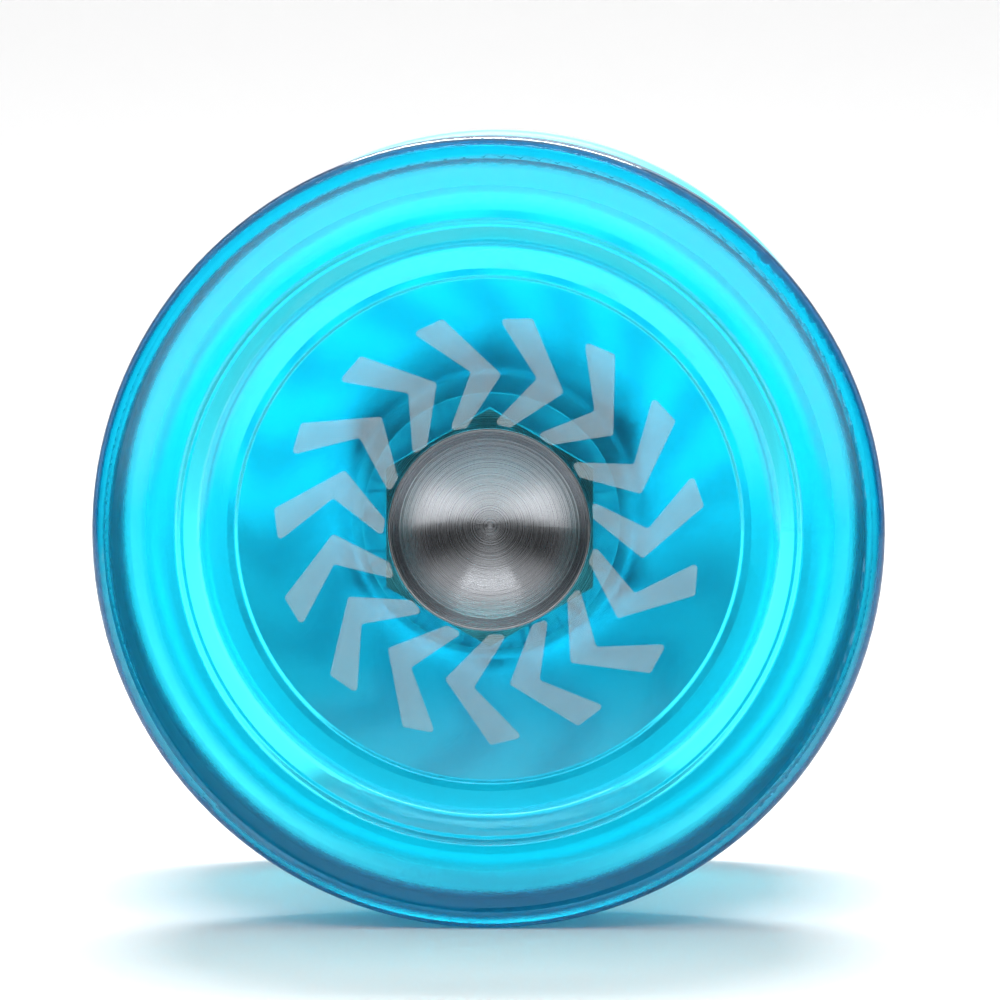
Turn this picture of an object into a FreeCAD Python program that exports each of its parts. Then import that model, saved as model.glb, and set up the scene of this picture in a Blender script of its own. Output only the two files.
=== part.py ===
"""A clear plastic take-apart ball-bearing yo-yo, in millimetres.

The spin axis is Y, Z is up and the origin is the middle of the bearing. Each half is drawn with its own
axis as local Z: height 0 is the middle of the string gap and height rises towards the open cup. The front
half is then turned to face -Y and the rear half to face +Y.
"""
import FreeCAD, Part
import math
import os
import Sketcher

SIZES = {
    # Plastic half: radii from the spin axis, heights from the middle of the gap.
    "rim_radius": 28.6,
    "half_width": 21.1,
    "half_gap": 2.15,
    "lip_inner_radius": 27.2,
    "shelf_outer_radius": 24.2,
    "shelf_outer_height": 19.75,
    "shelf_inner_radius": 22.6,
    "shelf_inner_height": 19.55,
    "ledge_outer_radius": 22.35,
    "ledge_outer_height": 18.95,
    "ledge_inner_radius": 22.1,
    "ledge_inner_height": 18.9,
    "wall_foot_radius": 20.8,
    "wall_foot_height": 17.5,
    "step_outer_radius": 19.05,
    "step_outer_height": 16.98,
    "step_inner_radius": 18.5,
    "step_inner_height": 16.95,
    "floor_radius": 18.3,
    "floor_height": 16.6,
    "rim_foot_height": 11.2,
    "catch_curve": 100.0,
    "lip_round": 0.9,
    "lip_inner_round": 0.8,
    "shelf_inner_round": 0.3,
    "shelf_outer_round": 6.0,
    "ledge_round": 0.1,
    "wall_foot_round": 2.0,
    "step_round": 0.12,
    "rim_foot_round": 1.6,
    # Ejector-pin witness marks in the cup floor, and the smaller mark of the mould insert.
    "pin_mark_radius": 1.9,
    "pin_ring_radius": 16.0,
    "insert_mark_radius": 1.0,
    "insert_ring_radius": 17.0,
    "mark_depth": 0.05,
    # Turned hub, moulded into the half. Its hexagon keeps it from turning in the plastic.
    "mould_gap": 0.02,
    "post_radius": 3.15,
    "post_tip_height": 0.35,
    "race_seat_radius": 3.9,
    "core_radius": 5.5,
    "flange_across": 15.1,
    "flange_base_height": 10.6,
    "flange_thickness": 2.6,
    "head_radius": 7.38,
    "dish_lip_radius": 7.2,
    "dish_radius": 6.62,
    "dish_edge_height": 15.4,
    "dish_round": 8.6,
    "dish_depth": 3.1,
    "dish_pip_radius": 0.3,
    "tapped_radius": 2.0,
    "tapped_height": 9.3,
    "drill_tip": 1.1,
    # Threaded stud.
    "axle_radius": 1.75,
    "axle_length": 16.0,
    "axle_chamfer": 0.5,
    "socket_across": 2.0,
    "socket_depth": 2.2,
    # Ball bearing, 6.35 x 12.7 x 4.76.
    "bearing_bore": 3.175,
    "bearing_outside": 6.35,
    "bearing_width": 4.76,
    "bearing_half_width": 2.38,
    "inner_race_radius": 4.05,
    "outer_race_radius": 5.475,
    "race_chamfer": 0.25,
    "pitch_radius": 4.7625,
    "ball_radius": 0.992,
    "groove_radius": 1.02,
    "groove_half_chord_inner": 0.732,
    "groove_half_chord_outer": 0.7316,
    "shield_seat_radius": 5.8,
    "shield_seat_height": 1.74,
    "clip_groove_radius": 6.0,
    "clip_groove_height": 1.98,
    "clip_groove_width": 0.24,
    "shield_inner_radius": 4.25,
    "shield_outer_radius": 5.78,
    "shield_thickness": 0.22,
    "clip_inner_radius": 5.4,
    "clip_outer_radius": 5.97,
    "clip_thickness": 0.2,
    "cage_inner_radius": 4.35,
    "cage_outer_radius": 5.17,
    "cage_thickness": 1.25,
    "pocket_radius": 1.03,
    # Clearances and depths of the bearing recess and the silicone response ring.
    "recess_radius": 6.9,
    "recess_height": 2.65,
    "pad_inner_radius": 7.4,
    "pad_outer_radius": 9.5,
    "pad_thickness": 1.0,
    "pad_setback": 0.05,
    "pad_clearance": 0.05,
    "pad_round": 0.15,
}
BALL_COUNT = 8
PIN_MARK_COUNT = 8
PIN_MARK_START = 22.5
INSERT_MARK_ANGLE = 285.0
CLIP_SWEEP = 325.0
MATCH = 1e-4

doc = FreeCAD.newDocument("yoyo")
sub_parts = []


def make_sheet():
    """Writes the driving dimensions, one alias a row."""
    sheet = doc.addObject("Spreadsheet::Sheet", "Sizes")
    for row, (alias, value) in enumerate(SIZES.items(), start=1):
        sheet.set(f"A{row}", alias)
        sheet.set(f"B{row}", str(value))
        sheet.setAlias(f"B{row}", alias)
    doc.recompute()


def value_of(expression):
    """The number that a sum of aliases and plain numbers stands for."""
    total = 0.0
    sign = 1.0
    for word in expression.split():
        if word in ("+", "-"):
            sign = 1.0 if word == "+" else -1.0
        else:
            total += sign * (SIZES[word] if word in SIZES else float(word))
    return total


def bound(expression):
    """The same sum with every alias read from the sheet."""
    return " ".join(f"Sizes.{word}" if word in SIZES else word for word in expression.split())


def new_body(label):
    body = doc.addObject("PartDesign::Body", label)
    body.Label = label
    sub_parts.append(body)
    return body


def new_sketch(body, name, role, height="0"):
    """A sketch on one of the body's own origin planes, moved up along its normal by height."""
    sketch = body.newObject("Sketcher::SketchObject", f"{body.Name}_{name}")
    plane = next(feature for feature in body.Origin.OriginFeatures if feature.Role == role)
    sketch.AttachmentSupport = [(plane, "")]
    sketch.MapMode = "FlatFace"
    sketch.setExpression("AttachmentOffset.Base.z", bound(height))
    return sketch


def constrain(sketch, expression, kind, *where):
    """Adds one dimension that the sheet drives."""
    index = sketch.addConstraint(Sketcher.Constraint(kind, *where, abs(value_of(expression))))
    sketch.setExpression(f"Constraints[{index}]", bound(expression))


def arc_between(start, end, radius, bulge):
    """An arc from start to end that bulges to the left (+1) or right (-1) of its direction."""
    chord = end - start
    half = chord.Length / 2
    left = FreeCAD.Vector(-chord.y, chord.x, 0).normalize()
    rise = radius - math.sqrt(radius**2 - half**2)
    return Part.Arc(start, (start + end) / 2 + left * rise * bulge, end)


def draw_outline(sketch, outline):
    """Draws a closed outline of (radius, height) corners in sheet terms.

    A corner may carry a third and fourth item, the radius and bulge of the arc that leaves it.
    """
    corners = [FreeCAD.Vector(value_of(c[0]), value_of(c[1]), 0) for c in outline]
    ends = []
    for index, corner in enumerate(outline):
        start = corners[index]
        end = corners[(index + 1) % len(corners)]
        if len(corner) == 2:
            geometry = sketch.addGeometry(Part.LineSegment(start, end), False)
            ends.append((geometry, 1, 2))
            continue
        arc = arc_between(start, end, value_of(corner[2]), corner[3]).toShape().Curve
        parameters = sorted((arc.parameter(start), arc.parameter(end)))
        if parameters[1] - parameters[0] > math.pi:
            parameters = [parameters[1], parameters[0] + 2 * math.pi]
        geometry = sketch.addGeometry(Part.ArcOfCircle(arc, *parameters), False)
        forward = sketch.getPoint(geometry, 1).distanceToPoint(start) < MATCH
        ends.append((geometry, 1, 2) if forward else (geometry, 2, 1))
        constrain(sketch, corner[2], "Radius", geometry)
    for index, corner in enumerate(outline):
        geometry, first, _ = ends[index]
        before, _, last = ends[index - 1]
        sketch.addConstraint(Sketcher.Constraint("Coincident", before, last, geometry, first))
        if corners[index].x > MATCH:
            constrain(sketch, corner[0], "DistanceX", -1, 1, geometry, first)
        else:
            sketch.addConstraint(Sketcher.Constraint("PointOnObject", geometry, first, -2))
        if corners[index].y > MATCH:
            constrain(sketch, corner[1], "DistanceY", -1, 1, geometry, first)
        else:
            sketch.addConstraint(Sketcher.Constraint("PointOnObject", geometry, first, -1))


def revolve(body, outline, sweep=360.0):
    """Turns an outline about the body's Z axis."""
    sketch = new_sketch(body, "outline", "XZ_Plane")
    draw_outline(sketch, outline)
    turned = body.newObject("PartDesign::Revolution", f"{body.Name}_turned")
    turned.Profile = (sketch, [""])
    turned.ReferenceAxis = (sketch, ["V_Axis"])
    turned.Angle = sweep
    body.Tip = turned
    doc.recompute()
    return turned


def round_edges(body, radius, *circles):
    """Rounds the circular edges that lie at the given (radius, height) pairs."""
    base = body.Tip
    wanted = [(value_of(r), value_of(z)) for r, z in circles]
    names = []
    for number, edge in enumerate(base.Shape.Edges, start=1):
        if not isinstance(edge.Curve, Part.Circle):
            continue
        place = (edge.Curve.Radius, edge.Curve.Center.z)
        if any(math.dist(place, target) < MATCH for target in wanted):
            names.append(f"Edge{number}")
    if len(names) < len(wanted):
        raise RuntimeError(f"{body.Label}: {len(wanted)} edges wanted for {radius}, {len(names)} found")
    rounded = body.newObject("PartDesign::Fillet", f"{body.Name}_{radius}")
    rounded.Base = (base, names)
    rounded.setExpression("Radius", bound(radius))
    body.Tip = rounded
    doc.recompute()


def draw_hexagon(sketch, across):
    """A hexagon with a corner on the vertical axis, inside a construction circle."""
    corner_radius = value_of(across) / math.sqrt(3)
    circle = sketch.addGeometry(Part.Circle(FreeCAD.Vector(), FreeCAD.Vector(0, 0, 1), corner_radius), True)
    sketch.addConstraint(Sketcher.Constraint("Coincident", circle, 3, -1, 1))
    index = sketch.addConstraint(Sketcher.Constraint("Radius", circle, corner_radius))
    sketch.setExpression(f"Constraints[{index}]", f"({bound(across)}) / sqrt(3)")
    turns = [math.radians(90 + 60 * k) for k in range(6)]
    points = [FreeCAD.Vector(corner_radius * math.cos(a), corner_radius * math.sin(a), 0) for a in turns]
    sides = [
        sketch.addGeometry(Part.LineSegment(points[k], points[(k + 1) % 6]), False) for k in range(6)
    ]
    for k in range(6):
        sketch.addConstraint(Sketcher.Constraint("Coincident", sides[k - 1], 2, sides[k], 1))
        sketch.addConstraint(Sketcher.Constraint("PointOnObject", sides[k], 1, circle))
    for k in range(1, 6):
        sketch.addConstraint(Sketcher.Constraint("Equal", sides[0], sides[k]))
    sketch.addConstraint(Sketcher.Constraint("PointOnObject", sides[0], 1, -2))


def cut_pocket(body, sketch, depth, upward):
    """Cuts a sketch into the body and checks that something went."""
    before = body.Tip.Shape.Volume
    pocket = body.newObject("PartDesign::Pocket", f"{sketch.Name}_cut")
    pocket.Profile = (sketch, [""])
    pocket.setExpression("Length", bound(depth))
    pocket.Reversed = upward
    body.Tip = pocket
    doc.recompute()
    if pocket.Shape.Volume > before - MATCH:
        raise RuntimeError(f"{pocket.Label} cuts nothing")
    return pocket


def place(part, side, shift="0"):
    """Turns a part's local Z to -Y (side -1) or +Y (side 1) and moves it along that way by shift."""
    part.Placement = FreeCAD.Placement(
        FreeCAD.Vector(0, side * value_of(shift), 0), FreeCAD.Rotation(FreeCAD.Vector(1, 0, 0), -90 * side)
    )
    part.setExpression(".Placement.Base.y", f"{side} * ({bound(shift)})")


def add_mark(body, name, radius, ring_radius, angle):
    """A shallow round witness mark in the cup floor."""
    sketch = new_sketch(body, name, "XY_Plane", "floor_height")
    away = value_of(ring_radius)
    turn = math.radians(angle)
    centre = FreeCAD.Vector(away * math.cos(turn), away * math.sin(turn), 0)
    circle = sketch.addGeometry(Part.Circle(centre, FreeCAD.Vector(0, 0, 1), value_of(radius)), False)
    constrain(sketch, radius, "Radius", circle)
    index = sketch.addConstraint(Sketcher.Constraint("DistanceX", -1, 1, circle, 3, centre.x))
    sketch.setExpression(f"Constraints[{index}]", f"{bound(ring_radius)} * cos({angle} deg)")
    index = sketch.addConstraint(Sketcher.Constraint("DistanceY", -1, 1, circle, 3, centre.y))
    sketch.setExpression(f"Constraints[{index}]", f"{bound(ring_radius)} * sin({angle} deg)")
    return cut_pocket(body, sketch, "mark_depth", upward=False)


def make_half(label, side):
    """The moulded half: cup on one face, catch zone and bearing recess on the other, hub cavity inside."""
    body = new_body(label)
    outline = [
        ("core_radius + mould_gap", "recess_height"),
        ("recess_radius", "recess_height"),
        ("recess_radius", "half_gap"),
        ("pad_inner_radius - pad_clearance", "half_gap"),
        ("pad_inner_radius - pad_clearance", "half_gap + pad_setback + pad_thickness"),
        ("pad_outer_radius + pad_clearance", "half_gap + pad_setback + pad_thickness"),
        ("pad_outer_radius + pad_clearance", "half_gap", "catch_curve", -1),
        ("rim_radius", "rim_foot_height"),
        ("rim_radius", "half_width"),
        ("lip_inner_radius", "half_width"),
        ("shelf_outer_radius", "shelf_outer_height"),
        ("shelf_inner_radius", "shelf_inner_height"),
        ("ledge_outer_radius", "ledge_outer_height"),
        ("ledge_inner_radius", "ledge_inner_height"),
        ("wall_foot_radius", "wall_foot_height"),
        ("step_outer_radius", "step_outer_height"),
        ("step_inner_radius", "step_inner_height"),
        ("floor_radius", "floor_height"),
        ("head_radius + mould_gap", "floor_height"),
        ("head_radius + mould_gap", "flange_base_height"),
        ("core_radius + mould_gap", "flange_base_height"),
    ]
    revolve(body, outline)
    round_edges(body, "rim_foot_round", ("rim_radius", "rim_foot_height"))
    round_edges(body, "lip_round", ("rim_radius", "half_width"))
    round_edges(body, "wall_foot_round", ("wall_foot_radius", "wall_foot_height"))
    step = ("step_inner_radius", "step_inner_height")
    round_edges(body, "step_round", step, ("floor_radius", "floor_height"))
    ledge = ("ledge_inner_radius", "ledge_inner_height")
    round_edges(body, "ledge_round", ledge, ("ledge_outer_radius", "ledge_outer_height"))
    round_edges(body, "shelf_inner_round", ("shelf_inner_radius", "shelf_inner_height"))
    round_edges(body, "shelf_outer_round", ("shelf_outer_radius", "shelf_outer_height"))
    round_edges(body, "lip_inner_round", ("lip_inner_radius", "half_width"))
    cavity = new_sketch(body, "flange_cavity", "XY_Plane", "flange_base_height - mould_gap")
    draw_hexagon(cavity, "flange_across + mould_gap + mould_gap")
    cut_pocket(body, cavity, "flange_thickness + mould_gap + mould_gap", upward=True)
    add_mark(body, "insert_mark", "insert_mark_radius", "insert_ring_radius", INSERT_MARK_ANGLE)
    pin_mark = add_mark(body, "pin_mark", "pin_mark_radius", "pin_ring_radius", PIN_MARK_START)
    before = body.Tip.Shape.Volume
    pattern = body.newObject("PartDesign::PolarPattern", f"{label}_pin_marks")
    pattern.Originals = [pin_mark]
    axis = next(feature for feature in body.Origin.OriginFeatures if feature.Role == "Z_Axis")
    pattern.Axis = (axis, [""])
    pattern.Angle = 360
    pattern.Occurrences = PIN_MARK_COUNT
    body.Tip = pattern
    doc.recompute()
    if pattern.Shape.Volume > before - MATCH:
        raise RuntimeError(f"{label}: the pin marks cut nothing")
    place(body, side)


def make_hub(label, side):
    """The turned metal hub: bearing post, tapped blind bore, hexagon flange and dished round head."""
    body = new_body(label)
    outline = [
        ("tapped_radius", "post_tip_height"),
        ("post_radius", "post_tip_height"),
        ("post_radius", "bearing_half_width"),
        ("race_seat_radius", "bearing_half_width"),
        ("race_seat_radius", "recess_height"),
        ("core_radius", "recess_height"),
        ("core_radius", "flange_base_height"),
        ("head_radius", "flange_base_height"),
        ("head_radius", "floor_height - pad_setback"),
        ("dish_lip_radius", "floor_height - pad_setback"),
        ("dish_radius", "dish_edge_height", "dish_round", 1),
        ("dish_pip_radius", "dish_edge_height - dish_depth"),
        ("0", "dish_edge_height - dish_depth"),
        ("0", "tapped_height + drill_tip"),
        ("tapped_radius", "tapped_height"),
    ]
    revolve(body, outline)
    flange = new_sketch(body, "flange", "XY_Plane", "flange_base_height")
    draw_hexagon(flange, "flange_across")
    inner = flange.addGeometry(
        Part.Circle(FreeCAD.Vector(), FreeCAD.Vector(0, 0, 1), value_of("dish_lip_radius")), False
    )
    flange.addConstraint(Sketcher.Constraint("Coincident", inner, 3, -1, 1))
    constrain(flange, "dish_lip_radius", "Radius", inner)
    pad = body.newObject("PartDesign::Pad", f"{label}_flange_pad")
    pad.Profile = (flange, [""])
    pad.setExpression("Length", bound("flange_thickness"))
    body.Tip = pad
    doc.recompute()
    place(body, side)


def make_axle():
    """The threaded stud that joins the halves, with a hexagon socket in its front end."""
    body = new_body("axle")
    outline = [
        ("0", "0"),
        ("axle_radius - axle_chamfer", "0"),
        ("axle_radius", "axle_chamfer"),
        ("axle_radius", "axle_length - axle_chamfer"),
        ("axle_radius - axle_chamfer", "axle_length"),
        ("0", "axle_length"),
    ]
    revolve(body, outline)
    socket = new_sketch(body, "socket", "XY_Plane", "axle_length")
    draw_hexagon(socket, "socket_across")
    cut_pocket(body, socket, "socket_depth", upward=False)
    place(body, -1)
    body.setExpression(".Placement.Base.y", "Sizes.axle_length / 2")


def make_inner_race():
    """The inner ring, drawn from its rear face upwards, with a ball groove outside."""
    body = new_body("bearing_inner_race")
    outline = [
        ("bearing_bore", "race_chamfer"),
        ("bearing_bore + race_chamfer", "0"),
        ("inner_race_radius", "0"),
        ("inner_race_radius", "bearing_half_width - groove_half_chord_inner", "groove_radius", 1),
        ("inner_race_radius", "bearing_half_width + groove_half_chord_inner"),
        ("inner_race_radius", "bearing_width"),
        ("bearing_bore + race_chamfer", "bearing_width"),
        ("bearing_bore", "bearing_width - race_chamfer"),
    ]
    revolve(body, outline)
    place(body, -1)
    body.setExpression(".Placement.Base.y", "Sizes.bearing_half_width")


def make_outer_race():
    """The outer ring, with a ball groove, shield seats and clip grooves inside."""
    body = new_body("bearing_outer_race")
    seat_low = "bearing_half_width - shield_seat_height"
    seat_high = "bearing_half_width + shield_seat_height"
    clip_low = "bearing_half_width - clip_groove_height"
    clip_high = "bearing_half_width + clip_groove_height"
    outline = [
        ("shield_seat_radius", "0"),
        ("bearing_outside - race_chamfer", "0"),
        ("bearing_outside", "race_chamfer"),
        ("bearing_outside", "bearing_width - race_chamfer"),
        ("bearing_outside - race_chamfer", "bearing_width"),
        ("shield_seat_radius", "bearing_width"),
        ("shield_seat_radius", f"{clip_high} + clip_groove_width"),
        ("clip_groove_radius", f"{clip_high} + clip_groove_width"),
        ("clip_groove_radius", clip_high),
        ("shield_seat_radius", clip_high),
        ("shield_seat_radius", seat_high),
        ("outer_race_radius", seat_high),
        ("outer_race_radius", "bearing_half_width + groove_half_chord_outer", "groove_radius", 1),
        ("outer_race_radius", "bearing_half_width - groove_half_chord_outer"),
        ("outer_race_radius", seat_low),
        ("shield_seat_radius", seat_low),
        ("shield_seat_radius", clip_low),
        ("clip_groove_radius", clip_low),
        ("clip_groove_radius", f"{clip_low} - clip_groove_width"),
        ("shield_seat_radius", f"{clip_low} - clip_groove_width"),
    ]
    revolve(body, outline)
    place(body, -1)
    body.setExpression(".Placement.Base.y", "Sizes.bearing_half_width")


def make_ring(label, side, radii, heights, sweep=360.0):
    """A plain ring of rectangular section."""
    body = new_body(label)
    inner, outer = radii
    low, high = heights
    revolve(body, [(inner, low), (outer, low), (outer, high), (inner, high)], sweep)
    place(body, side)
    return body


def make_shield_and_clip(name, side):
    """One dust shield, and the open ring that holds it in the outer race."""
    shield_radii = ("shield_inner_radius", "shield_outer_radius")
    shield_heights = ("shield_seat_height", "shield_seat_height + shield_thickness")
    make_ring(f"bearing_shield_{name}", side, shield_radii, shield_heights)
    clip_radii = ("clip_inner_radius", "clip_outer_radius")
    clip_heights = ("clip_groove_height + 0.02", "clip_groove_height + 0.02 + clip_thickness")
    make_ring(f"shield_clip_{name}", side, clip_radii, clip_heights, CLIP_SWEEP)


def make_response_pad(label, side):
    """The soft silicone ring in its recess, just under the face of the gap."""
    top = "half_gap + pad_setback"
    radii = ("pad_inner_radius", "pad_outer_radius")
    body = make_ring(label, side, radii, (top, f"{top} + pad_thickness"))
    round_edges(body, "pad_round", ("pad_inner_radius", top), ("pad_outer_radius", top))


def ball_angles():
    return [360.0 * k / BALL_COUNT for k in range(BALL_COUNT)]


def make_sphere(label, radius, angle):
    """A sphere on the bearing's pitch circle."""
    sphere = doc.addObject("Part::Sphere", label)
    sphere.Label = label
    sphere.setExpression("Radius", bound(radius))
    sphere.setExpression(".Placement.Base.x", f"Sizes.pitch_radius * cos({angle} deg)")
    sphere.setExpression(".Placement.Base.z", f"Sizes.pitch_radius * sin({angle} deg)")
    return sphere


def make_balls():
    for number, angle in enumerate(ball_angles(), start=1):
        sub_parts.append(make_sphere(f"bearing_ball_{number}", "ball_radius", angle))


def make_cage_half(name, side):
    """Half of the ball cage: a ring with a round pocket for each ball, split at the balls' plane."""
    label = f"bearing_cage_{name}"
    walls = []
    for wall, radius in (("outside", "cage_outer_radius"), ("inside", "cage_inner_radius")):
        cylinder = doc.addObject("Part::Cylinder", f"{label}_{wall}")
        cylinder.setExpression("Radius", bound(radius))
        cylinder.setExpression("Height", bound("cage_thickness"))
        place(cylinder, side)
        walls.append(cylinder)
    ring = doc.addObject("Part::Cut", f"{label}_ring")
    ring.Base, ring.Tool = walls
    pockets = doc.addObject("Part::MultiFuse", f"{label}_pockets")
    pockets.Shapes = [
        make_sphere(f"{label}_pocket_{number}", "pocket_radius", angle)
        for number, angle in enumerate(ball_angles(), start=1)
    ]
    cage = doc.addObject("Part::Cut", label)
    cage.Label = label
    cage.Base = ring
    cage.Tool = pockets
    sub_parts.append(cage)


def check_document():
    """Stops if any object failed or any sub-part is empty, broken or in more than one piece."""
    doc.recompute()
    for item in doc.Objects:
        if "Invalid" in item.State or "Error" in item.State:
            raise RuntimeError(f"{item.Label} failed: {item.State}")
    for part in sub_parts:
        if part.Shape.isNull() or not part.Shape.isValid() or len(part.Shape.Solids) != 1:
            raise RuntimeError(f"{part.Label} has no valid single solid")


def export_parts():
    os.makedirs("parts", exist_ok=True)
    for part in sub_parts:
        part.Shape.exportStep(f"parts/{part.Label}.step")
        print(f"{part.Label}: {part.Shape.Volume:.2f} mm3")


make_sheet()
for half, facing in (("front", -1), ("rear", 1)):
    make_half(f"{half}_body", facing)
    make_hub(f"{half}_hub", facing)
    make_response_pad(f"{half}_response_pad", facing)
    make_shield_and_clip(half, facing)
    make_cage_half(half, facing)
make_axle()
make_inner_race()
make_outer_race()
make_balls()
check_document()
export_parts()
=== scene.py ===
"""The looks of a clear blue take-apart yo-yo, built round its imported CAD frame.

Lengths are in metres in the CAD's own frame: the spin axis is Y, the front half faces -Y and Z is up.
"""
import math

import bmesh
import bpy
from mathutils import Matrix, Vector
from mathutils.geometry import tessellate_polygon


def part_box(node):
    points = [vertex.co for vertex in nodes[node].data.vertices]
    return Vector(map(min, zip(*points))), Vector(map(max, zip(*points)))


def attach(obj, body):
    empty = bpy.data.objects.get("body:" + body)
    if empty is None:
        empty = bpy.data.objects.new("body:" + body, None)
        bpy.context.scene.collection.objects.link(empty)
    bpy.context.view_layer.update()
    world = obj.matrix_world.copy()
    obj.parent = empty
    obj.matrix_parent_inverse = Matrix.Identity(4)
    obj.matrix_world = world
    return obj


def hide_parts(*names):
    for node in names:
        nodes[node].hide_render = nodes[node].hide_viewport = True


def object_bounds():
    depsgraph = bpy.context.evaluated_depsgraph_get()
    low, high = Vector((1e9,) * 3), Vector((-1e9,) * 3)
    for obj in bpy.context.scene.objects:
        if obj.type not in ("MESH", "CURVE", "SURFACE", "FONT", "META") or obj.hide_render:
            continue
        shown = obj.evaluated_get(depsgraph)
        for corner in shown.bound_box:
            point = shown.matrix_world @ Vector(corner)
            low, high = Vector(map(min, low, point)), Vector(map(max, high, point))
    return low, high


MM = 0.001

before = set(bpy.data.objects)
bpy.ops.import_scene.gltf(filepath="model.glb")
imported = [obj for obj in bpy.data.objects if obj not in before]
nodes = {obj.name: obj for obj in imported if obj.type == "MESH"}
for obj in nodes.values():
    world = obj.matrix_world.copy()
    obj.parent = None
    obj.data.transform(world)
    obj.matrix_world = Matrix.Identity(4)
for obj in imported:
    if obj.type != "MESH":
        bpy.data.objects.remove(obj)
cad_low, cad_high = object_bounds()

RIM_RADIUS = cad_high.z
RIM_FACE = cad_low.y
CUP_FLOOR = 16.6 * MM

# The camera stands a little above the spin axis and to its right, and looks along the axis.
CAMERA_DISTANCE = 450 * MM
CAMERA_LENS = 225.2
CAMERA_PITCH = math.radians(4.1)
CAMERA_YAW = math.radians(0.98)
AIM_RIGHT = 0.87 * MM
AIM_UP = 2.5 * MM


# ---------------------------------------------------------------- material helpers
def new_material(name):
    """A fresh material with its node tree and its Principled shader."""
    material = bpy.data.materials.new(name)
    material.use_nodes = True
    return material, material.node_tree, material.node_tree.nodes["Principled BSDF"]


def math_node(tree, operation, first, second=None):
    """A Math node. Its inputs are sockets or plain numbers."""
    node = tree.nodes.new("ShaderNodeMath")
    node.operation = operation
    for socket, value in zip(node.inputs, (first, second)):
        if isinstance(value, bpy.types.NodeSocket):
            tree.links.new(value, socket)
        elif value is not None:
            socket.default_value = value
    return node.outputs[0]


def remap(tree, value, from_range, to_range, smooth=False):
    """Maps one range onto another and stops at both ends."""
    node = tree.nodes.new("ShaderNodeMapRange")
    node.interpolation_type = "SMOOTHSTEP" if smooth else "LINEAR"
    tree.links.new(value, node.inputs["Value"])
    node.inputs["From Min"].default_value, node.inputs["From Max"].default_value = from_range
    node.inputs["To Min"].default_value, node.inputs["To Max"].default_value = to_range
    return node.outputs["Result"]


def object_coordinates(tree):
    return tree.nodes.new("ShaderNodeTexCoord").outputs["Object"]


def polar(tree):
    """Radius from the spin axis, angle round it and distance from the middle of the gap."""
    parts = tree.nodes.new("ShaderNodeSeparateXYZ")
    tree.links.new(object_coordinates(tree), parts.inputs[0])
    x, y, z = parts.outputs
    squares = math_node(tree, "ADD", math_node(tree, "MULTIPLY", x, x), math_node(tree, "MULTIPLY", z, z))
    radius = math_node(tree, "SQRT", squares)
    return radius, math_node(tree, "ARCTAN2", z, x), math_node(tree, "ABSOLUTE", y)


def noise(tree, vector, size, detail=4.0, roughness=0.5):
    """Three-dimensional noise whose features are about size metres across."""
    node = tree.nodes.new("ShaderNodeTexNoise")
    tree.links.new(vector, node.inputs["Vector"])
    node.inputs["Scale"].default_value = 1.0 / size
    node.inputs["Detail"].default_value = detail
    node.inputs["Roughness"].default_value = roughness
    return node.outputs["Fac"]


def ring_noise(tree, radius, size, detail=3.0):
    """Noise that changes only with the radius, as lathe marks do."""
    node = tree.nodes.new("ShaderNodeTexNoise")
    node.noise_dimensions = "1D"
    tree.links.new(radius, node.inputs["W"])
    node.inputs["Scale"].default_value = 1.0 / size
    node.inputs["Detail"].default_value = detail
    return node.outputs["Fac"]


def ramp(tree, value, stops):
    """A colour ramp through (position, colour) stops."""
    node = tree.nodes.new("ShaderNodeValToRGB")
    tree.links.new(value, node.inputs["Fac"])
    elements = node.color_ramp.elements
    while len(elements) < len(stops):
        elements.new(0.5)
    for element, (position, colour) in zip(elements, stops):
        element.position = position
        element.color = (*colour, 1.0)
    return node.outputs["Color"]


def bump(tree, shader, value, depth, strength=1.0):
    """Raises the surface by depth metres where value is 1."""
    node = tree.nodes.new("ShaderNodeBump")
    node.inputs["Strength"].default_value = strength
    node.inputs["Distance"].default_value = depth
    tree.links.new(value, node.inputs["Height"])
    tree.links.new(node.outputs["Normal"], shader.inputs["Normal"])


# ---------------------------------------------------------------- materials
def clear_plastic():
    """Tinted polycarbonate: polished cup and rim, a slightly blurred catch zone, moulding flow and faint blotchy
    smears.
    """
    material, tree, shader = new_material("clear_blue_plastic")
    radius, angle, height = polar(tree)
    shader.inputs["Base Color"].default_value = (1.0, 1.0, 1.0, 1.0)
    shader.inputs["IOR"].default_value = 1.585
    shader.inputs["Transmission Weight"].default_value = 1.0
    polish = remap(tree, height, (12.5 * MM, 14.5 * MM), (0.22, 0.015), smooth=True)
    wall = remap(tree, radius, (25.5 * MM, 27.5 * MM), (0.0, 0.45), smooth=True)
    below_lip = remap(tree, height, (19.0 * MM, 20.5 * MM), (1.0, 0.1), smooth=True)
    worn = math_node(tree, "MAXIMUM", polish, math_node(tree, "MULTIPLY", wall, below_lip))
    smear = remap(tree, noise(tree, object_coordinates(tree), 4 * MM), (0.4, 0.7), (0.0, 0.02))
    tree.links.new(math_node(tree, "ADD", worn, smear), shader.inputs["Roughness"])
    flow = noise(tree, object_coordinates(tree), 9 * MM, detail=2.0)
    bump(tree, shader, flow, 0.05 * MM)
    absorption = tree.nodes.new("ShaderNodeVolumeAbsorption")
    absorption.inputs["Color"].default_value = (0.0, 0.9226, 0.9758, 1.0)
    absorption.inputs["Density"].default_value = 310.0
    tree.links.new(absorption.outputs[0], tree.nodes["Material Output"].inputs["Volume"])
    return material


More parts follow.
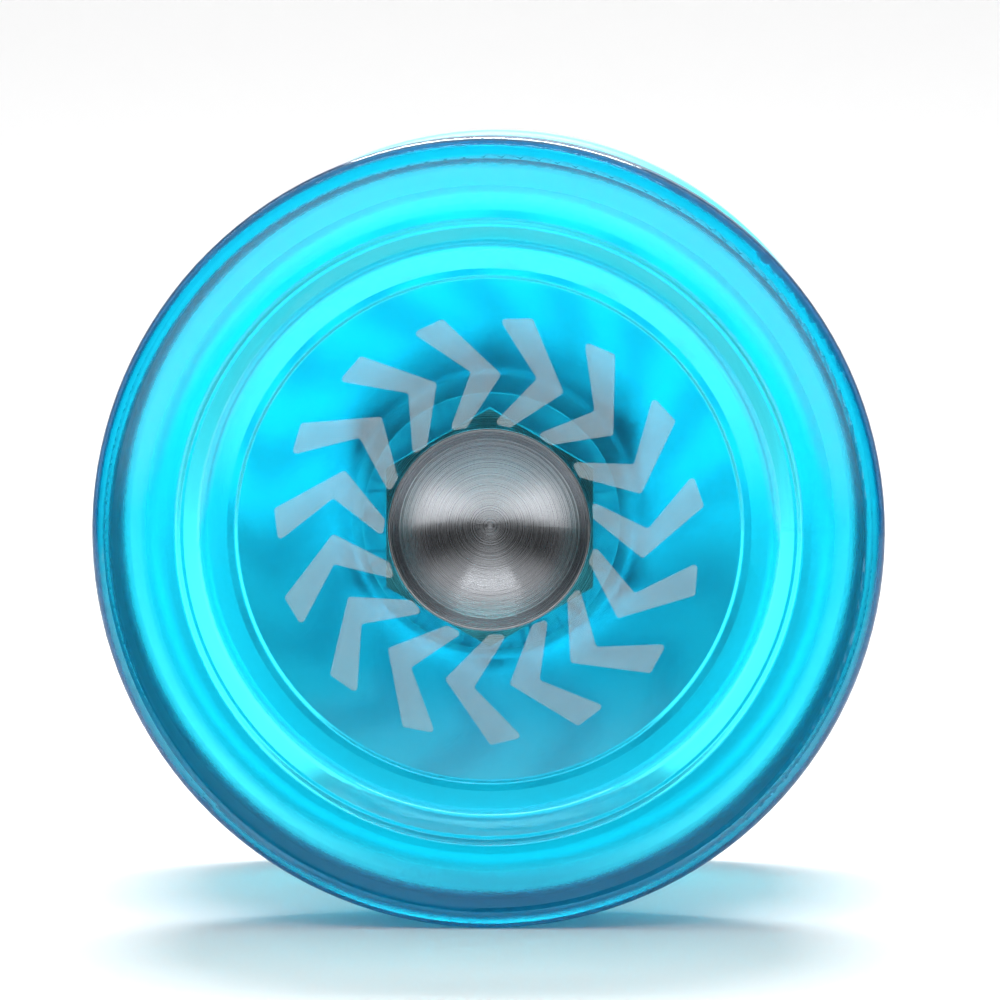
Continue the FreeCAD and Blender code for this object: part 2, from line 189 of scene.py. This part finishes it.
def turned_metal():
    """Lathe-turned aluminium: fine rings whose gloss streaks across the cut."""
    material, tree, shader = new_material("turned_aluminium")
    radius, angle, height = polar(tree)
    rings = ring_noise(tree, radius, 0.09 * MM, detail=4.0)
    colour = ramp(tree, rings, [(0.3, (0.38, 0.40, 0.43)), (0.7, (0.64, 0.66, 0.70))])
    tree.links.new(colour, shader.inputs["Base Color"])
    shader.inputs["Metallic"].default_value = 1.0
    tree.links.new(remap(tree, rings, (0.3, 0.7), (0.20, 0.33)), shader.inputs["Roughness"])
    shader.inputs["Anisotropic"].default_value = 0.85
    shader.inputs["Anisotropic Rotation"].default_value = 0.25
    tangent = tree.nodes.new("ShaderNodeTangent")
    tangent.direction_type = "RADIAL"
    tangent.axis = "Y"
    tree.links.new(tangent.outputs[0], shader.inputs["Tangent"])
    bump(tree, shader, rings, 0.006 * MM)
    return material


def steel(name, light, dark, roughness, grain, depth):
    """Steel with a fine grain: polished, pressed or drawn, as roughness and grain say."""
    material, tree, shader = new_material(name)
    spots = noise(tree, object_coordinates(tree), grain, detail=6.0)
    tree.links.new(ramp(tree, spots, [(0.35, dark), (0.65, light)]), shader.inputs["Base Color"])
    shader.inputs["Metallic"].default_value = 1.0
    low, high = roughness
    tree.links.new(remap(tree, spots, (0.35, 0.65), (low, high)), shader.inputs["Roughness"])
    bump(tree, shader, spots, depth)
    return material


def silicone():
    """Soft translucent rubber with a matt moulded skin."""
    material, tree, shader = new_material("silicone")
    grain = noise(tree, object_coordinates(tree), 0.15 * MM, detail=6.0)
    colour = ramp(tree, grain, [(0.3, (0.90, 0.94, 0.95)), (0.7, (0.96, 0.98, 0.98))])
    tree.links.new(colour, shader.inputs["Base Color"])
    shader.inputs["Alpha"].default_value = 0.2
    shader.inputs["IOR"].default_value = 1.41
    tree.links.new(remap(tree, grain, (0.3, 0.7), (0.40, 0.60)), shader.inputs["Roughness"])
    bump(tree, shader, grain, 0.01 * MM)
    return material


def print_ink():
    """White pad-printing ink, thin enough to let light through, with slightly uneven cover."""
    material, tree, shader = new_material("print_ink")
    cover = noise(tree, object_coordinates(tree), 0.8 * MM, detail=5.0)
    colour = ramp(tree, cover, [(0.3, (0.78, 0.80, 0.80)), (0.7, (0.88, 0.90, 0.90))])
    tree.links.new(colour, shader.inputs["Base Color"])
    tree.links.new(remap(tree, cover, (0.3, 0.7), (0.55, 0.7)), shader.inputs["Roughness"])
    shader.inputs["Alpha"].default_value = 0.27
    bump(tree, shader, cover, 0.004 * MM)
    return material


def paper_with_painted_shade():
    """Matt white paper under and behind the toy, with painted shade that takes its colour to nearly black
    towards the camera.
    """
    material, tree, shader = new_material("paper_with_painted_shade")
    parts = tree.nodes.new("ShaderNodeSeparateXYZ")
    tree.links.new(object_coordinates(tree), parts.inputs[0])
    # Painted shade: the colour falls from white to nearly black towards the camera, standing in for the dark
    # open front of the tent in the reflections.
    near = remap(tree, parts.outputs["Y"], (-0.22, -0.07), (0.0, 1.0), smooth=True)
    colour = ramp(tree, near, [(0.0, (0.06, 0.06, 0.06)), (1.0, (0.94, 0.94, 0.94))])
    tree.links.new(colour, shader.inputs["Base Color"])
    shader.inputs["Roughness"].default_value = 0.6
    return material


# ---------------------------------------------------------------- mesh helpers
def mesh_object(name, vertices, faces, material, smooth_angle=None):
    """A closed mesh object with outward faces."""
    mesh = bpy.data.meshes.new(name)
    mesh.from_pydata(vertices, [], faces)
    cleaner = bmesh.new()
    cleaner.from_mesh(mesh)
    bmesh.ops.recalc_face_normals(cleaner, faces=cleaner.faces)
    cleaner.to_mesh(mesh)
    cleaner.free()
    mesh.materials.append(material)
    if smooth_angle is not None:
        for polygon in mesh.polygons:
            polygon.use_smooth = True
        mesh.set_sharp_from_angle(angle=smooth_angle)
    made = bpy.data.objects.new(name, mesh)
    bpy.context.scene.collection.objects.link(made)
    return made


def rounded(corners, radius, steps=4):
    """The outline with each corner replaced by an arc."""
    outline = []
    for index, corner in enumerate(corners):
        before = (corners[index - 1] - corner).normalized()
        after = (corners[(index + 1) % len(corners)] - corner).normalized()
        half_angle = before.angle(after) / 2
        reach = radius / math.tan(half_angle)
        centre = corner + (before + after).normalized() * (radius / math.sin(half_angle))
        start = corner + before * reach - centre
        turn = (corner + after * reach - centre).angle_signed(start)
        for step in range(steps + 1):
            angle = turn * step / steps
            cosine, sine = math.cos(angle), math.sin(angle)
            spoke = Vector((start.x * cosine - start.y * sine, start.x * sine + start.y * cosine))
            outline.append(centre + spoke)
    return outline


# ---------------------------------------------------------------- threaded stud
THREAD_PITCH = 0.7 * MM
THREAD_CREST = 1.93 * MM
THREAD_ROOT = 1.55 * MM
THREAD_END = 1.4 * MM
SOCKET_ACROSS = 2.0 * MM
SOCKET_DEPTH = 2.2 * MM
SPOKES = 48
STEPS_PER_TURN = 10


def thread_radius(turn, from_start, length):
    """Radius of the right-hand thread at one angle and height, with a chamfer at both ends."""
    phase = (from_start / THREAD_PITCH + turn / (2 * math.pi)) % 1.0
    height = min(max((abs(2 * phase - 1) - 0.12) / 0.70, 0.0), 1.0)
    radius = THREAD_ROOT + (THREAD_CREST - THREAD_ROOT) * height
    return min(radius, THREAD_END + min(from_start, length - from_start))


def socket_radius(turn):
    """Radius of the hexagon socket at one angle; a corner points straight up."""
    from_flat = (turn - math.pi / 6) % (math.pi / 3) - math.pi / 6
    return SOCKET_ACROSS / 2 / math.cos(from_flat)


def make_stud(material):
    """The M4 stud with its cut thread and hexagon socket, where the CAD has a plain shaft."""
    low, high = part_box("axle")
    length = high.y - low.y
    turns = [2 * math.pi * k / SPOKES for k in range(SPOKES)]
    stations = round(length / THREAD_PITCH * STEPS_PER_TURN)
    rings = [(low.y + SOCKET_DEPTH, [socket_radius(turn) for turn in turns])]
    rings.append((low.y, [socket_radius(turn) for turn in turns]))
    for step in range(stations + 1):
        from_start = length * step / stations
        rings.append((low.y + from_start, [thread_radius(turn, from_start, length) for turn in turns]))
    vertices = []
    for y, radii in rings:
        vertices += [(r * math.cos(turn), y, r * math.sin(turn)) for r, turn in zip(radii, turns)]
    faces = []
    for index in range(len(rings) - 1):
        start = index * SPOKES
        for k in range(SPOKES):
            after = (k + 1) % SPOKES
            faces.append((start + k, start + after, start + SPOKES + after, start + SPOKES + k))
    socket_floor = len(vertices)
    vertices += [(0.0, low.y + SOCKET_DEPTH + 0.3 * MM, 0.0), (0.0, high.y, 0.0)]
    last = (len(rings) - 1) * SPOKES
    for k in range(SPOKES):
        after = (k + 1) % SPOKES
        faces.append((socket_floor, after, k))
        faces.append((socket_floor + 1, last + k, last + after))
    stud = mesh_object("threaded_stud", vertices, faces, material, smooth_angle=math.radians(35))
    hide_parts("axle")
    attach(stud, "rear_half")


# ---------------------------------------------------------------- printed ring
BAR_COUNT = 15
BAR_START = math.radians(11)
BAR_ROUND = 0.25
INK_GAP = 0.012 * MM
INK_THICKNESS = 0.02 * MM
# Corners of one bent bar: radius in mm, and degrees from the middle of its outer end.
BAR_OUTER_SIDE = [(15.7, -4.6), (11.35, -21.5), (7.6, -4.6)]
BAR_INNER_SIDE = [(7.75, 4.6), (11.55, -10.5), (15.35, 4.2)]


def bar_outline(turn):
    """One bent bar in mm, turned round the axis, seen from the front."""
    corners = []
    for radius, degrees in BAR_OUTER_SIDE + BAR_INNER_SIDE:
        angle = turn + math.radians(degrees)
        corners.append(Vector((radius * math.cos(angle), radius * math.sin(angle))))
    return rounded(corners, BAR_ROUND)


def make_print(name, side, material):
    """A ring of bent bars, a thin film of ink on one cup floor (side -1 front, 1 rear)."""
    near = side * (CUP_FLOOR + INK_GAP)
    far = near + side * INK_THICKNESS
    vertices = []
    faces = []
    for index in range(BAR_COUNT):
        outline = bar_outline(BAR_START + 2 * math.pi * index / BAR_COUNT)
        count = len(outline)
        first = len(vertices)
        vertices += [(point.x * MM, y, -side * point.y * MM) for y in (near, far) for point in outline]
        for a, b, c in tessellate_polygon([[point.to_3d() for point in outline]]):
            faces.append((first + a, first + b, first + c))
            faces.append((first + count + c, first + count + b, first + count + a))
        for step in range(count):
            following = (step + 1) % count
            faces.append((first + step, first + following, first + count + following, first + count + step))
    return mesh_object(name, vertices, faces, material)


# ---------------------------------------------------------------- stage, light and camera
def make_backdrop(material):
    """A pale sweep: flat floor, a wide bend and an upright back."""
    floor = cad_low.z
    half_width = 2.5
    path = [(-2.5, floor), (-0.5, floor)]
    bend_start = 0.45
    bend_radius = 0.45
    steps = 24
    for step in range(steps + 1):
        angle = math.pi / 2 * step / steps
        path.append((bend_start + bend_radius * math.sin(angle), floor + bend_radius * (1 - math.cos(angle))))
    path.append((bend_start + bend_radius, 2.5))
    vertices = [(x, y, z) for y, z in path for x in (-half_width, half_width)]
    faces = [(2 * k, 2 * k + 1, 2 * k + 3, 2 * k + 2) for k in range(len(path) - 1)]
    mesh = bpy.data.meshes.new("backdrop")
    mesh.from_pydata(vertices, [], faces)
    for polygon in mesh.polygons:
        polygon.use_smooth = True
    mesh.materials.append(material)
    backdrop = bpy.data.objects.new("backdrop", mesh)
    bpy.context.scene.collection.objects.link(backdrop)


def make_softbox(name, place, target, size, power):
    """A rectangular area light of (width, depth) aimed at a point."""
    light = bpy.data.lights.new(name, "AREA")
    light.shape = "RECTANGLE"
    light.size, light.size_y = size
    light.energy = power
    softbox = bpy.data.objects.new(name, light)
    softbox.location = place
    softbox.rotation_euler = (Vector(target) - Vector(place)).to_track_quat("-Z", "Y").to_euler()
    bpy.context.scene.collection.objects.link(softbox)


def make_world():
    """A white tent that is open, and so greyer, on the camera's side."""
    world = bpy.data.worlds.new("tent")
    bpy.context.scene.world = world
    world.use_nodes = True
    tree = world.node_tree
    background = tree.nodes["Background"]
    direction = tree.nodes.new("ShaderNodeTexCoord").outputs["Generated"]
    parts = tree.nodes.new("ShaderNodeSeparateXYZ")
    tree.links.new(direction, parts.inputs[0])
    ahead = remap(tree, parts.outputs["Y"], (-0.40, 0.05), (0.0, 1.15), smooth=True)
    steep = math_node(tree, "ABSOLUTE", parts.outputs["Z"])
    front = remap(tree, steep, (0.25, 0.7), (0.05, 0.60), smooth=True)
    lit = math_node(tree, "MAXIMUM", ahead, front)
    background.inputs["Color"].default_value = (1.0, 1.0, 1.0, 1.0)
    tree.links.new(lit, background.inputs["Strength"])


def make_camera():
    data = bpy.data.cameras.new("camera")
    data.sensor_width = 36.0
    data.lens = CAMERA_LENS
    data.clip_start = 0.01
    camera = bpy.data.objects.new("camera", data)
    camera.rotation_euler = (math.pi / 2 - CAMERA_PITCH, 0.0, CAMERA_YAW)
    bpy.context.scene.collection.objects.link(camera)
    bpy.context.view_layer.update()
    turn = camera.rotation_euler.to_matrix()
    aim = Vector((0.0, RIM_FACE, 0.0)) + turn @ Vector((AIM_RIGHT, AIM_UP, 0.0))
    camera.location = aim + turn @ Vector((0.0, 0.0, CAMERA_DISTANCE))
    bpy.context.scene.camera = camera


# ---------------------------------------------------------------- build
make_camera()
bpy.context.scene.view_settings.view_transform = "Standard"

plastic = clear_plastic()
hub_metal = turned_metal()
race_steel = steel("race_steel", (0.62, 0.62, 0.63), (0.48, 0.48, 0.49), (0.12, 0.22), 0.3 * MM, 0.002 * MM)
finishes = {
    "front_body": plastic,
    "rear_body": plastic,
    "front_hub": hub_metal,
    "rear_hub": hub_metal,
    "axle": steel("axle_steel", (0.12, 0.12, 0.13), (0.07, 0.07, 0.08), (0.3, 0.45), 0.2 * MM, 0.004 * MM),
    "bearing_inner_race": race_steel,
    "bearing_outer_race": race_steel,
    "cage": steel("cage_steel", (0.50, 0.47, 0.42), (0.38, 0.35, 0.31), (0.3, 0.45), 0.2 * MM, 0.004 * MM),
    "ball": steel("ball_steel", (0.72, 0.72, 0.73), (0.66, 0.66, 0.67), (0.04, 0.09), 0.4 * MM, 0.001 * MM),
    "shield": steel("shield_steel", (0.52, 0.52, 0.53), (0.42, 0.42, 0.43), (0.28, 0.4), 0.15 * MM, 0.003 * MM),
    "clip": steel("clip_steel", (0.32, 0.32, 0.34), (0.22, 0.22, 0.24), (0.25, 0.4), 0.1 * MM, 0.003 * MM),
    "pad": silicone(),
}
for name, node in nodes.items():
    finish = next(material for part, material in finishes.items() if part in name)
    node.data.materials.clear()
    node.data.materials.append(finish)

make_stud(finishes["axle"])
ink = print_ink()
for half, side in (("front", -1), ("rear", 1)):
    printed = make_print(f"{half}_print", side, ink)
    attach(printed, f"{half}_half")

make_backdrop(paper_with_painted_shade())
make_world()
make_softbox("top_light", (0.0, 0.22, 0.36), (0.0, 0.0, 0.0), (0.30, 0.10), 2.6)
make_softbox("front_strip", (0.0, -0.30, 0.36), (0.0, 0.0, 0.0), (0.40, 0.02), 0.2)
make_softbox("backdrop_light", (0.0, 0.20, 0.60), (0.0, 0.90, 0.15), (1.2, 0.3), 3.5)
